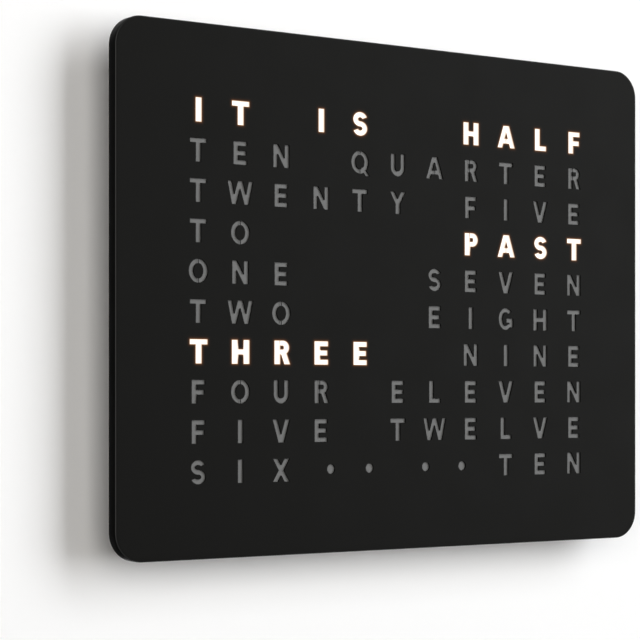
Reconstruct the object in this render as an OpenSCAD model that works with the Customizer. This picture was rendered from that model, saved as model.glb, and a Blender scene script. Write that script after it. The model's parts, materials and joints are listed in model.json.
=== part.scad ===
// Wall-hung word clock. A thin painted tray stands in front of an opal sheet, a
// moulded light grid and rows of LED strips, all clamped to a shallow rear
// housing that hangs on two keyholes.
//
// X runs to the right seen from the front, Z runs up and the front faces -Y.
// The origin is midway between the keyholes, on the rear face of the housing.

/* [Front plate] */
// Width of the front plate
plate_w = 460; // [440:1:500]
// Height of the front plate
plate_h = 360; // [345:1:400]
// Thickness of the plate's face
plate_t = 2; // [1.5:0.1:3]
// Depth of the rim, from the front face backwards
rim_depth = 9; // [7:0.5:14]
// Thickness of the rim
rim_t = 2; // [1.5:0.1:3]
// Outer radius of the plate's corners
corner_r = 20; // [14:1:28]
// Round on the front edge of the plate
edge_r = 0.8; // [0.3:0.1:1.2]
// Diameter of a minute dot
dot_d = 6.8; // [5:0.2:8]
// Distance of the inner minute dots from the middle
dot_inner_x = 25; // [20:0.5:30]
// Distance of the outer minute dots from the middle
dot_outer_x = 58.3; // [52:0.1:64]

/* [Light field] */
// Distance between columns, one LED of a strip with 30 to the metre
pitch_x = 33.3; // [31:0.1:35]
// Distance between rows
pitch_z = 27; // [25:0.1:28]

/* [Sheets] */
// Thickness of the opal diffuser
diffuser_t = 2; // [1:0.1:3]
// How far the diffuser reaches past the inside of the grid
diffuser_lap = 3; // [1:0.2:4]
// Radius of the diffuser's corners
diffuser_r = 4; // [1:0.5:6]
// Thickness of the sheet that carries the strips
carrier_t = 2; // [1.5:0.1:3]

/* [Light grid] */
// Depth of the light grid, front to back
grid_depth = 14; // [10:0.5:20]
// Thickness of a web at its front edge
web_front_t = 1.2; // [0.8:0.1:1.6]
// Thickness of a web at its back edge
web_back_t = 2.2; // [1.8:0.1:3]
// Thickness of the outer frame of the grid
frame_t = 1.6; // [1.2:0.1:2.4]
// Space round a strip where it passes under a web
notch_gap = 0.6; // [0.3:0.1:1]
// Diameter of the posts that take the carrier screws
post_d = 7; // [6:0.5:9]
// Thickness of the ears that the case screws clamp
ear_t = 3; // [2:0.5:5]
// Distance of a case screw from the outside of the grid's frame
ear_reach = 6; // [5.2:0.1:8]

/* [LED strips] */
// Width of a strip
strip_w = 10; // [8:1:12]
// Thickness of a strip
strip_t = 0.5; // [0.3:0.1:0.8]
// Side of an LED package
led_size = 5; // [3.5:0.5:5]
// Height of an LED package
led_h = 1.5; // [1:0.1:2]
// Diameter of the window in an LED package
led_window_d = 4; // [2.4:0.1:4.2]
// Gap between a strip in the bottom row and its neighbour
strip_split = 6; // [4:0.5:7]
// Diameter of the wires that join the strips
jumper_d = 1.1; // [0.8:0.1:1.4]
// Distance of the outer wires from the middle one
jumper_step = 2.2; // [2:0.1:2.6]
// Distance of the wires from the end of a strip
jumper_inset = 4.5; // [4:0.1:6]
// Diameter of the links across the gaps in the bottom row
link_d = 0.9; // [0.6:0.1:1.2]
// Length of a link on each strip
link_lap = 2; // [1.5:0.1:3]
// Distance of the outer links from the middle one
link_step = 3; // [2:0.1:4]

/* [Rear housing] */
// Thickness of the side walls
wall_t = 2.5; // [2:0.1:3.5]
// Thickness of the back wall
back_t = 2.5; // [2.2:0.1:4]
// Depth of the space behind the carrier
bay_depth = 12; // [11.8:0.1:18]
// Outer radius of the housing's corners
housing_r = 14; // [10:1:18]
// Round on the rear edge of the housing
housing_edge_r = 3; // [1:0.5:3.5]
// Height of the ribs on the back wall
rib_h = 1.6; // [1:0.1:2]
// Thickness of the ribs on the back wall
rib_t = 1.6; // [1.2:0.1:2.4]
// Diameter of the screw bosses
boss_d = 9; // [8.6:0.2:11]
// Gap between the screw bosses and the side walls
boss_gap = 2; // [1:0.2:4]
// Material left in a boss under the screw head
boss_floor = 5; // [3:0.5:8]
// Length of a ventilation slot
vent_len = 36; // [20:1:50]
// Width of a ventilation slot
vent_w = 3; // [2:0.5:4]
// Distance between ventilation slots
vent_pitch = 8; // [6:0.5:12]
// Distance of the ventilation slots from the middle of the housing
vent_gap = 8; // [7:0.5:12]
// Height of the lowest ventilation slot above the middle of the housing
vent_rise = -10; // [-14:1:-6]

/* [Wall fixing] */
// Distance between the keyholes
keyhole_span = 300; // [240:1:330]
// Height of the keyholes above the middle of the plate
keyhole_rise = 100; // [70:1:105]
// Diameter of the round end of a keyhole
keyhole_d = 10; // [8:0.5:12]
// Width of the slot of a keyhole
slot_w = 5; // [4.4:0.2:6]
// Height of the slot's end above the round end
slot_rise = 9; // [7:0.5:12]
// Width of a hanger plate
hanger_w = 24; // [20:1:32]
// Height of a hanger plate
hanger_h = 46; // [42:1:56]
// Thickness of a hanger plate
hanger_t = 1.5; // [1:0.1:2]
// Radius of a hanger plate's corners
hanger_r = 2; // [0.5:0.5:4]
// Room behind a keyhole for the head of the wall screw, past the plate's opening
head_room = 1; // [0.6:0.1:1.4]
// Diameter of the rivets in a hanger plate
rivet_d = 3; // [2.4:0.1:3.6]
// Diameter of a rivet's rear head
rivet_head_d = 6; // [5:0.1:7]
// Diameter of a rivet's inner head
rivet_foot_d = 5.1; // [4.8:0.1:6]
// Height of a rivet's heads
rivet_head_h = 0.8; // [0.5:0.1:1.2]
// Diameter of a wall pad
pad_d = 12; // [8:0.5:16]
// Thickness of a wall pad
pad_t = 2; // [1:0.5:4]
// Distance of a wall pad from the corner screw next to it, both ways
pad_inset = 18; // [14:1:24]

/* [Fasteners] */
// Diameter of a case screw
screw_d = 3; // [2.5:0.1:3.4]
// Diameter of a case screw's head
head_d = 5.6; // [5:0.1:6]
// Height of a case screw's head
head_h = 2.2; // [1.6:0.1:3]
// Length of a case screw that reaches into its standoff
screw_bite = 6; // [4:0.5:7]
// Diameter of a standoff on the plate
standoff_d = 7; // [6:0.1:8]
// Length of a standoff on the plate
standoff_len = 8; // [7.5:0.5:11]
// Diameter of a self-tapping screw
tapping_d = 2.5; // [2:0.1:3]
// Diameter of a self-tapping screw's head
tapping_head_d = 4.8; // [4:0.1:5.4]
// Height of a self-tapping screw's head
tapping_head_h = 1.6; // [1:0.1:2]
// Length of a self-tapping screw under its head in the grid
tapping_bite = 8; // [5:0.5:9]
// Radial gap round a screw in its hole
screw_gap = 0.2; // [0.1:0.05:0.3]
// Radial gap round the head of a case screw
head_gap = 0.4; // [0.2:0.1:0.5]

/* [Controller] */
// Width of the controller board
board_w = 90; // [86:1:100]
// Height of the controller board
board_h = 50; // [48:1:56]
// Height of the board's middle below the middle of the plate
board_drop = 93; // [88:1:96]
// Thickness of the circuit boards
pcb_t = 1.6; // [1:0.1:2]
// Height of the posts under the controller board
post_h = 3; // [2.5:0.1:3.5]
// Diameter of the posts under the controller board
board_post_d = 6; // [5:0.1:7]
// Radius of the controller board's corners
board_r = 2; // [1:0.5:3]
// Distance of the fixing holes from the board's edges
board_inset = 4; // [3.6:0.1:5]
// Height of the buffer capacitors
capacitor_h = 5.4; // [4:0.1:6]
// Diameter of the buffer capacitors
capacitor_d = 6.3; // [5:0.1:7]
// Diameter of the backup cell
cell_d = 20; // [16:0.5:21]
// Thickness of the backup cell
cell_t = 3.2; // [2:0.1:3.4]
// Thickness of the cell holder's floor
cell_base_t = 0.8; // [0.6:0.1:1]
// Diameter of the clock crystal
crystal_d = 2; // [1.5:0.1:3]
// Length of the clock crystal
crystal_len = 6.2; // [5:0.1:7]
// Diameter of a wire in the leads
wire_d = 1.4; // [1:0.1:1.6]

/* [Power inlet] */
// Distance of the inlet from the middle
inlet_x = 0; // [-20:1:20]
// Diameter of the inlet's threaded barrel
inlet_d = 8; // [7.6:0.1:9]
// Diameter of the inlet's flange
inlet_flange_d = 11; // [10.5:0.1:11.5]
// Height of the inlet's flange
inlet_flange_h = 1.5; // [1:0.1:2.5]
// Length of the inlet from its flange inwards
inlet_len = 13; // [11:0.5:15]
// Inside diameter of the inlet's socket
socket_d = 5.6; // [5:0.1:6]
// Depth of the inlet's socket
socket_depth = 10; // [8:0.5:11]
// Diameter of the inlet's centre pin
pin_d = 2; // [1.5:0.1:2.4]
// Width of the inlet's nut across its flats
nut_af = 10; // [9.8:0.1:10.8]
// Height of the inlet's nut
nut_h = 2; // [1.5:0.1:3]
// Material of the inlet behind the root of its centre pin
pin_back = 1.5; // [1:0.1:1.6]

/* [Set buttons] */
// Distance of the middle button from the middle of the housing
button_x = 125; // [120:1:135]
// Distance between buttons
button_pitch = 15; // [13:0.5:17]
// Diameter of a button cap
cap_d = 8; // [6:0.2:9]
// How far a button cap stands out of the housing
cap_out = 1.8; // [1.2:0.1:3]
// Width of the shoulder inside the wall
cap_shoulder = 1; // [0.8:0.1:1.6]
// Thickness of the shoulder inside the wall
shoulder_h = 1; // [0.8:0.1:1.5]
// Radius of the button's domed end
crown_r = 14; // [8:1:30]
// Travel of a button
button_travel = 0.5; // [0.3:0.05:0.8]
// Gap round a button cap in the wall
button_gap = 0.3; // [0.25:0.05:0.5]
// Gap between a button's shoulder and the wall
seat_gap = 0.1; // [0.05:0.05:0.2]
// Side of a switch body
switch_size = 6; // [5:0.1:7]
// Height of a switch body
switch_h = 3.5; // [3:0.1:5]
// Diameter of a switch's plunger
plunger_d = 3.4; // [2.6:0.1:3.6]
// Length of a plunger outside the switch body
plunger_out = 1.2; // [1:0.1:2]
// Length of a plunger inside the switch body
plunger_in = 1; // [0.6:0.1:1.4]
// Depth of the button board, front to back
button_board_d = 9; // [8:0.1:10]
// Length of the button board past its outer switches
button_board_end = 6; // [4:0.5:7]
// How far the guides reach along the button board at each end
guide_hold = 3; // [2:0.5:3.5]
// Thickness of a guide above and below the button board
guide_t = 1.6; // [1.2:0.1:2]

/* [Hidden] */
columns = 11;
rows = 10;
end_cells = 3;                  // cells at each end of the bottom row
vents_high = 5;                 // ventilation slots in each stack
past = 1;                       // how far a cut runs past the face it opens
root = 0.5;                     // how far ribs and posts start inside the back wall
hair = 0.01;                    // keeps a cut off a face that it stops at
fit_gap = 0.05;                 // radial gap round the inlet's pin and in its nut
$fn = 64;

// Layers from the wall forwards. Each value is the Y of a face.
y_bay_back = -back_t;
y_bay_front = y_bay_back - bay_depth;
y_strips = y_bay_front - carrier_t;
y_grid_front = y_strips - grid_depth;
y_plate_back = y_grid_front - diffuser_t;
y_front = y_plate_back - plate_t;
y_ear = y_plate_back + standoff_len;
y_boss = y_ear + ear_t;
y_head = y_boss + boss_floor;
y_bay_mid = (y_bay_back + y_bay_front) / 2;
y_board = y_bay_back - post_h - pcb_t;

// Field, grid and housing
field_w = columns * pitch_x;
field_h = rows * pitch_z;
screw_x = field_w / 2 + frame_t + ear_reach;
screw_z = field_h / 2 + frame_t + ear_reach;
housing_w = 2 * (screw_x + boss_d / 2 + boss_gap + wall_t);
housing_h = 2 * (screw_z + boss_d / 2 + boss_gap + wall_t);
z_floor = -housing_h / 2 + wall_t;
mid_cells_w = (columns - 2 * end_cells) * pitch_x;
dot_web_x = (dot_inner_x + dot_outer_x) / 2;
dots_x = [-dot_outer_x, -dot_inner_x, dot_inner_x, dot_outer_x];
strip_end = field_w / 2 - web_back_t / 2 - notch_gap;
jumper_x = strip_end - jumper_inset;
end_strip_x = (mid_cells_w + strip_split) / 2;
mid_strip_x = (mid_cells_w - strip_split) / 2;

// Case screws sit at the corners, twice along the top and bottom and once a side.
mid_screw_x = 2 * pitch_x;
case_points = concat(
    [for (sx = [-1, 1], sz = [-1, 1]) [sx * screw_x, sz * screw_z]],
    [for (sx = [-1, 1], sz = [-1, 1]) [sx * mid_screw_x, sz * screw_z]],
    [for (sx = [-1, 1]) [sx * screw_x, 0]]);

// Posts stand where webs cross.
post_points = [for (i = [1, 4, 7, 10], j = [2, 8])
    [(i - columns / 2) * pitch_x, (j - rows / 2) * pitch_z]];

function column_x(i) = (i - (columns - 1) / 2) * pitch_x;
function row_z(j) = ((rows - 1) / 2 - j) * pitch_z;

// Cells with an LED: every column of all rows but the last, which keeps its ends.
led_points = [for (j = [0 : rows - 1], i = [0 : columns - 1])
    if (j < rows - 1 || i < end_cells || i >= columns - end_cells) [column_x(i), row_z(j)]];

// Hangers: top of the room behind a keyhole, and rivets midway to the plate's end
room_top = slot_rise + keyhole_d / 2 + head_room;
rivet_z = (room_top + hanger_h / 2) / 2;

// Controller board
board_z = -board_drop;
board_holes = [for (sx = [-1, 1], sz = [-1, 1])
    [sx * (board_w / 2 - board_inset), board_z + sz * (board_h / 2 - board_inset)]];

// Parts on the board: place of each from the board's middle, and its width,
// height and thickness.
module_at = [-20, 2];
module_size = [18, 25.5, 0.8];
shield_size = [15.8, 17.6, 2.3];
shield_drop = 2;
chips = [[[4, 17], [10.3, 7.5, 2.4]],
         [[18, 17], [8.7, 3.9, 1.5]],
         [[31, 17], [6.5, 3.5, 1.6]]];
crystal_at = [-1, 9.5];
capacitors_at = [[26, 5], [35, 5]];
cell_at = [20, -11];
cell_rim = [2, 1];              // holder past the cell, across and upwards

// Headers and leads: place of each header on the board and the side it opens to.
header_size = 8;
header_t = 4.4;
header_wall = 1.6;
header_low = -8;
headers = [[[0, (header_size - board_h) / 2], [0, -1]],
           [[(header_size - board_w) / 2, header_low], [-1, 0]],
           [[(board_w - header_size) / 2, header_low], [1, 0]]];
y_lead = y_board - header_t / 2;
wire_step = 2;

// Buttons, from the wall inwards
z_shoulder = z_floor + seat_gap;
z_plunger = z_shoulder + shoulder_h;
z_switch = z_plunger + plunger_out;
z_button_board = z_switch + switch_h;
button_board_w = 2 * button_pitch + switch_size + 2 * button_board_end;
button_xs = [button_x - button_pitch, button_x, button_x + button_pitch];

// --- Helpers ---------------------------------------------------------------

// Moves a piece drawn round the middle of the plate into the clock's own frame.
module at_panel() {
    translate([0, 0, -keyhole_rise]) children();
}

// Raises a drawing in X and Z into a layer between two depths.
module layer(y_back, y_front) {
    translate([0, y_back, 0]) rotate([90, 0, 0]) linear_extrude(y_back - y_front) children();
}

module round_rect(w, h, r) {
    square([w - 2 * r, h], center = true);
    square([w, h - 2 * r], center = true);
    for (sx = [-1, 1], sz = [-1, 1])
        translate([sx * (w / 2 - r), sz * (h / 2 - r)]) circle(r);
}

// Sweeps a cross-section round a rounded rectangle. The section's x is the
// distance from the centre of a corner and its y runs forwards from the wall.
module swept_edge(w, h, r) {
    rotate([90, 0, 0])
        for (i = [0 : 3]) {
            half = i % 2 == 0 ? [w / 2, h / 2] : [h / 2, w / 2];
            rotate([0, 0, 90 * i]) {
                translate([half.x - r, 0, 0])
                    rotate([90, 0, 0]) linear_extrude(2 * (half.y - r), center = true) children();
                translate([half.x - r, half.y - r, 0]) rotate_extrude(angle = 90) children();
            }
        }
}

// Cylinder along Y between two depths.
module drum(d, y_back, y_front) {
    translate([0, y_back, 0]) rotate([90, 0, 0]) cylinder(d = d, h = y_back - y_front);
}

module drums(points, d, y_back, y_front) {
    for (p = points) translate([p.x, 0, p.y]) drum(d, y_back, y_front);
}

// Box given by its middle in X and Z, its size there, and two depths.
module block(x, z, w, h, y_back, y_front) {
    translate([x - w / 2, y_front, z - h / 2]) cube([w, y_back - y_front, h]);
}

// Pan-head screw that points forwards from its seat.
module screw(d, length, d_head, h_head, y_seat) {
    drum(d, y_seat, y_seat - length);
    difference() {
        drum(d_head, y_seat + h_head, y_seat);
        drum(d_head / 3, y_seat + h_head + past, y_seat + h_head / 2);
    }
}

// Round wire through a list of points, with a ball at each bend.
module wire(path, d) {
    for (i = [0 : len(path) - 2]) {
        v = path[i + 1] - path[i];
        translate(path[i])
            rotate([0, acos(v.z / norm(v)), atan2(v.y, v.x)])
                cylinder(h = norm(v), d = d);
    }
    for (i = [1 : len(path) - 2]) translate(path[i]) sphere(d = 1.06 * d);
}

// --- Front plate -----------------------------------------------------------

// Section of the rim, with its front outer edge rounded.
module rim_section() {
    translate([corner_r - rim_t, -y_front - rim_depth])
        square([rim_t, rim_depth - edge_r]);
    translate([corner_r - rim_t, -y_front - plate_t])
        square([rim_t - edge_r, plate_t]);
    translate([corner_r - edge_r, -y_front - edge_r])
        circle(edge_r);
}

module front_plate() {
    color("#1d1d1d") at_panel()
        difference() {
            union() {
                swept_edge(plate_w, plate_h, corner_r) rim_section();
                layer(y_plate_back, y_front)
                    round_rect(plate_w - rim_t - edge_r, plate_h - rim_t - edge_r,
                               corner_r - (rim_t + edge_r) / 2);
            }
            for (x = dots_x)
                translate([x, 0, row_z(rows - 1)]) drum(dot_d, y_plate_back + past, y_front - past);
        }
}

module plate_standoffs() {
    color("silver") at_panel()
        difference() {
            drums(case_points, standoff_d, y_ear, y_plate_back);
            drums(case_points, screw_d + 2 * screw_gap, y_ear + past,
                  y_ear - screw_bite - screw_gap);
        }
}

module diffuser_sheet() {
    color("#8c8c8c") at_panel()
        layer(y_grid_front, y_plate_back)
            round_rect(field_w + 2 * diffuser_lap, field_h + 2 * diffuser_lap, diffuser_r);
}

// --- Light grid ------------------------------------------------------------

// Section of a web: thick at the back where the strips lie, thin at the front.
module web_section() {
    polygon([[-web_back_t / 2, y_strips], [web_back_t / 2, y_strips],
             [web_front_t / 2, y_grid_front], [-web_front_t / 2, y_grid_front]]);
}

module upright_web(x, z_low, z_high) {
    translate([x, 0, z_low]) linear_extrude(z_high - z_low) web_section();
}

module level_web(z) {
    translate([-field_w / 2, 0, z]) rotate([0, 90, 0]) linear_extrude(field_w) web_section();
}

module light_grid() {
    z_top = field_h / 2;
    z_last = -field_h / 2 + pitch_z;        // the web above the bottom row
    color("#2a2a2a") at_panel()
        difference() {
            union() {
                // frame round all cells
                layer(y_strips, y_grid_front) difference() {
                    square([field_w + 2 * frame_t, field_h + 2 * frame_t], center = true);
                    square([field_w, field_h], center = true);
                }
                for (j = [1 : rows - 1]) level_web(-z_top + j * pitch_z);
                for (i = [1 : columns - 1])
                    upright_web((i - columns / 2) * pitch_x, z_last, z_top);
                // bottom row: three cells at each end and one for each minute dot
                for (i = [1 : end_cells], s = [-1, 1])
                    upright_web(s * (columns / 2 - i) * pitch_x, -z_top, z_last);
                for (x = [-dot_web_x, 0, dot_web_x])
                    upright_web(x, -z_top, z_last);
                drums(post_points, post_d, y_strips, y_grid_front);
                ears();
            }
            // a strip passes under the webs of each row
            for (j = [0 : rows - 1])
                block(0, row_z(j), field_w - 2 * hair, strip_w + 2 * notch_gap,
                      y_strips + past, y_strips - strip_t - led_h - notch_gap);
            drums(post_points, tapping_d + screw_gap, y_strips + past,
                  y_strips - tapping_bite - past);
            drums(case_points, screw_d + 2 * screw_gap, y_boss + past, y_ear - past);
        }
}

// Lugs on the frame that sit on the standoffs.
module ears() {
    layer(y_boss, y_ear)
        for (p = case_points) {
            translate(p) circle(d = standoff_d);
            inner = [min(abs(p.x), field_w / 2 + frame_t / 2) * sign(p.x),
                     min(abs(p.y), field_h / 2 + frame_t / 2) * sign(p.y)];
            mid = (p + inner) / 2;
            if (abs(p.x) < field_w / 2)
                translate([p.x, mid.y]) square([standoff_d, abs(p.y - inner.y)], center = true);
            else if (abs(p.y) < field_h / 2)
                translate([mid.x, p.y]) square([abs(p.x - inner.x), standoff_d], center = true);
            else
                polygon([p + [0, -standoff_d / 2 * sign(p.y)],
                         inner + [0, -standoff_d * sign(p.y)],
                         inner + [-standoff_d * sign(p.x), 0],
                         p + [-standoff_d / 2 * sign(p.x), 0],
                         p]);
        }
}

// --- LED strips ------------------------------------------------------------

// Wires join the rows at alternate ends; the lead enters at the left of the last.
function jumper_side(j) = (rows - 1 - j) % 2 == 0 ? 1 : -1;

module strip_carrier() {
    color("#d8d4c8") at_panel()
        difference() {
            layer(y_bay_front, y_strips)
                square([field_w + 2 * frame_t, field_h + 2 * frame_t], center = true);
            drums(post_points, tapping_d + 2 * screw_gap, y_bay_front + past, y_strips - past);
            for (j = [1 : rows - 1], row = [j, j - 1])
                wire_slot(jumper_side(j) * jumper_x, row_z(row));
            wire_slot(-jumper_x, row_z(rows - 1));
        }
}

module wire_slot(x, z) {
    room = 1;
    block(x, z, 2 * jumper_step + wire_d + room, wire_d + room,
          y_bay_front + past, y_strips - past);
}

module strip(x_left, x_right, z) {
    block((x_left + x_right) / 2, z, x_right - x_left, strip_w, y_strips, y_strips - strip_t);
}

module led_strips() {
    color("#efeee6") at_panel() {
        for (j = [0 : rows - 2]) strip(-strip_end, strip_end, row_z(j));
        strip(-strip_end, -end_strip_x, row_z(rows - 1));
        strip(end_strip_x, strip_end, row_z(rows - 1));
    }
}

module led(x, z) {
    y_base = y_strips - strip_t;
    difference() {
        block(x, z, led_size, led_size, y_base, y_base - led_h);
        translate([x, 0, z]) drum(led_window_d, y_base - led_h / 2, y_base - led_h - past);
    }
}

module led_packages() {
    color("#f4f2e4") at_panel() for (p = led_points) led(p.x, p.y);
}

module minute_strip() {
    color("#efeee6") at_panel() strip(-mid_strip_x, mid_strip_x, row_z(rows - 1));
}

module minute_leds() {
    color("#f4f2e4") at_panel() for (x = dots_x) led(x, row_z(rows - 1));
}

// Short wires across the two gaps in the bottom row.
module row_links() {
    link_len = strip_split + 2 * link_lap;
    color("#b04030") at_panel()
        for (s = [-1, 1], k = [-1, 0, 1])
            translate([s * mid_cells_w / 2 - link_len / 2, y_strips - strip_t - link_d / 2,
                       row_z(rows - 1) + link_step * k])
                rotate([0, 90, 0]) cylinder(d = link_d, h = link_len);
}

module strip_jumpers() {
    y_run = y_bay_front + jumper_d / 2;
    color("#d8d8d8") at_panel()
        for (j = [1 : rows - 1], k = [-1, 0, 1]) {
            x = jumper_side(j) * jumper_x + k * jumper_step;
            wire([[x, y_strips, row_z(j)], [x, y_run, row_z(j)],
                  [x, y_run, row_z(j - 1)], [x, y_strips, row_z(j - 1)]], jumper_d);
        }
}

module carrier_screws() {
    color("#c8c8c8") at_panel()
        for (p = post_points)
            translate([p.x, 0, p.y])
                screw(tapping_d, carrier_t + tapping_bite, tapping_head_d, tapping_head_h,
                      y_bay_front);
}

// --- Rear housing ----------------------------------------------------------

// Section of the side wall and the start of the back wall. The rear outer edge
// is rounded.
module wall_section() {
    depth = -y_plate_back;
    start = wall_t + housing_edge_r;
    intersection() {
        union() {
            translate([housing_r - wall_t, 0]) square([wall_t, depth]);
            translate([housing_r - start, 0]) square([start, back_t]);
        }
        union() {
            square([housing_r - housing_edge_r, depth]);
            translate([0, housing_edge_r]) square([housing_r, depth - housing_edge_r]);
            translate([housing_r - housing_edge_r, housing_edge_r]) circle(housing_edge_r);
        }
    }
}

module rear_housing() {
    color("#26272a") at_panel()
        difference() {
            union() {
                swept_edge(housing_w, housing_h, housing_r) wall_section();
                layer(0, y_bay_back)
                    round_rect(housing_w - 2 * housing_edge_r, housing_h - 2 * housing_edge_r,
                               housing_r - housing_edge_r);
                back_ribs();
                drums(case_points, boss_d, 0, y_boss);
                boss_webs();
                drums(board_holes, board_post_d, y_bay_back + root, y_bay_back - post_h);
                button_guides();
            }
            drums(case_points, head_d + 2 * head_gap, past, y_head);
            drums(case_points, screw_d + 2 * screw_gap, past, y_boss - past);
            drums(board_holes, tapping_d + screw_gap, y_bay_back + root,
                  y_bay_back - post_h - past);
            for (s = [-1, 1]) translate([s * keyhole_span / 2, 0, keyhole_rise]) hanger_pocket();
            vents();
            wall_hole(inlet_x, inlet_d + 2 * screw_gap);
            for (x = button_xs) wall_hole(x, cap_d + 2 * button_gap);
        }
}

// Hole through the bottom wall, midway between the back wall and the carrier.
module wall_hole(x, d) {
    translate([x, y_bay_mid, z_floor - wall_t - past]) cylinder(d = d, h = wall_t + 2 * past);
}

// Ribs that stiffen the back wall, left out where boards and hangers lie.
module back_ribs() {
    clear = 8;
    rib_top = housing_h / 2 - 2 * wall_t;
    guide_top = z_button_board + pcb_t + guide_t + clear;
    board_top = board_z + board_h / 2 + clear;
    for (s = [-1, 1]) {
        upright_rib(s * (keyhole_span / 2 - hanger_w), guide_top, rib_top);
        upright_rib(s * pitch_x, board_top, rib_top);
    }
    for (z = [board_top, keyhole_rise - hanger_h])
        block(0, z, housing_w - 4 * wall_t, rib_t, y_bay_back + root, y_bay_back - rib_h);
}

module upright_rib(x, z_low, z_high) {
    block(x, (z_low + z_high) / 2, rib_t, z_high - z_low, y_bay_back + root,
          y_bay_back - rib_h);
}

// Webs that tie each boss to the side wall.
module boss_webs() {
    for (p = case_points) {
        if (abs(p.x) > field_w / 2)
            block((p.x + sign(p.x) * (housing_w / 2 - wall_t / 2)) / 2, p.y,
                  housing_w / 2 - wall_t / 2 - abs(p.x), rib_t, y_bay_back + root, y_boss);
        if (abs(p.y) > field_h / 2)
            block(p.x, (p.y + sign(p.y) * (housing_h / 2 - wall_t / 2)) / 2,
                  rib_t, housing_h / 2 - wall_t / 2 - abs(p.y), y_bay_back + root, y_boss);
    }
}

// Slotted posts that hold the ends of the button board.
module button_guides() {
    z_mid = z_button_board + pcb_t / 2;
    for (s = [-1, 1])
        difference() {
            block(button_x + s * (button_board_w / 2), z_mid, 2 * guide_hold,
                  pcb_t + 2 * guide_t, y_bay_back + root, y_bay_mid - button_board_d / 2);
            block(button_x, z_mid, button_board_w + 2 * screw_gap, pcb_t + screw_gap,
                  y_bay_mid + button_board_d / 2 + screw_gap, y_bay_front);
        }
}

// Shallow recess for a hanger plate, with an opening behind the keyhole.
module hanger_pocket() {
    layer(past, -hanger_t)
        square([hanger_w + 2 * screw_gap, hanger_h + 2 * screw_gap], center = true);
    layer(past, y_bay_back - past)
        translate([0, slot_rise / 2])
            square([keyhole_d + 2 * head_room, 2 * room_top - slot_rise], center = true);
    for (s = [-1, 1]) translate([0, 0, s * rivet_z])
        drum(rivet_d + 2 * screw_gap, past, y_bay_back - past);
}

module vents() {
    for (s = [-1, 1], i = [0 : vents_high - 1])
        translate([s * (vent_len / 2 + vent_gap), 0, vent_rise + i * vent_pitch])
            layer(past, y_bay_back - rib_h - past) {
                square([vent_len - vent_w, vent_w], center = true);
                for (e = [-1, 1]) translate([e * (vent_len - vent_w) / 2, 0]) circle(d = vent_w);
            }
}

module hanger_plates() {
    color("#b8babc")
        for (s = [-1, 1]) translate([s * keyhole_span / 2, 0, 0])
            difference() {
                layer(0, -hanger_t) round_rect(hanger_w, hanger_h, hanger_r);
                drum(keyhole_d, past, -hanger_t - past);
                layer(past, -hanger_t - past) {
                    translate([0, slot_rise / 2]) square([slot_w, slot_rise], center = true);
                    translate([0, slot_rise]) circle(d = slot_w);
                }
                for (e = [-1, 1]) translate([0, 0, e * rivet_z])
                    drum(rivet_d + screw_gap, past, -hanger_t - past);
            }
}

module hanger_rivets() {
    color("#9a9c9e")
        for (s = [-1, 1], e = [-1, 1])
            translate([s * keyhole_span / 2, 0, e * rivet_z]) {
                drum(rivet_d, 0, y_bay_back);
                drum(rivet_head_d, rivet_head_h, 0);
                drum(rivet_foot_d, y_bay_back, y_bay_back - rivet_head_h);
            }
}

module wall_pads() {
    color("#101010") at_panel()
        for (sx = [-1, 1], sz = [-1, 1])
            translate([sx * (screw_x - pad_inset), 0, sz * (screw_z - pad_inset)])
                drum(pad_d, pad_t, 0);
}

module case_screws() {
    color("#303030") at_panel()
        for (p = case_points)
            translate([p.x, 0, p.y])
                screw(screw_d, boss_floor + ear_t + screw_bite, head_d, head_h, y_head);
}

// --- Controller ------------------------------------------------------------

// A block on the front of the controller board, placed from the board's middle.
module on_board(place, size) {
    block(place.x, board_z + place.y, size.x, size.y, y_board, y_board - size.z);
}

module controller_board() {
    color("#1f5a3a") at_panel()
        difference() {
            layer(y_board + pcb_t, y_board)
                translate([0, board_z]) round_rect(board_w, board_h, board_r);
            drums(board_holes, tapping_d + 2 * screw_gap, y_board + pcb_t + past, y_board - past);
        }
}

// Radio module: its own small board with a metal shield on it.
module controller_module() {
    color("#b9bcc0") at_panel() {
        on_board(module_at, module_size);
        translate([0, -module_size.z, -shield_drop]) on_board(module_at, shield_size);
    }
}

module board_chips() {
    color("#202020") at_panel() for (c = chips) on_board(c[0], c[1]);
}

module clock_crystal() {
    color("#c9ccd0") at_panel()
        translate([crystal_at.x, y_board - crystal_d / 2, board_z + crystal_at.y])
            rotate([0, 90, 0]) cylinder(d = crystal_d, h = crystal_len);
}

module buffer_capacitors() {
    color("#a8abb0") at_panel()
        for (p = capacitors_at) translate([p.x, 0, board_z + p.y])
            drum(capacitor_d, y_board, y_board - capacitor_h);
}

module cell_holder() {
    color("#2c2c30") at_panel()
        difference() {
            on_board(cell_at, [cell_d + 2 * cell_rim.x, cell_d + 2 * cell_rim.y,
                               cell_base_t + cell_t]);
            translate([cell_at.x, 0, board_z + cell_at.y])
                drum(cell_d + 2 * screw_gap, y_board - cell_base_t,
                     y_board - cell_base_t - cell_t - past);
        }
}

module backup_cell() {
    color("#cfd2d6") at_panel()
        translate([cell_at.x, 0, board_z + cell_at.y])
            drum(cell_d, y_board - cell_base_t, y_board - cell_base_t - cell_t);
}

// Header shells, one for each lead: place on the board and the side they open to.
module board_headers() {
    color("#e8e6dc") at_panel()
        for (h = headers)
            difference() {
                on_board(h[0], [header_size, header_size, header_t]);
                translate([header_wall * h[1].x, 0, header_wall * h[1].y])
                    block(h[0].x, board_z + h[0].y, header_size - header_wall,
                          header_size - header_wall, y_board - header_wall / 2,
                          y_board - header_t + header_wall / 2);
            }
}

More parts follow.
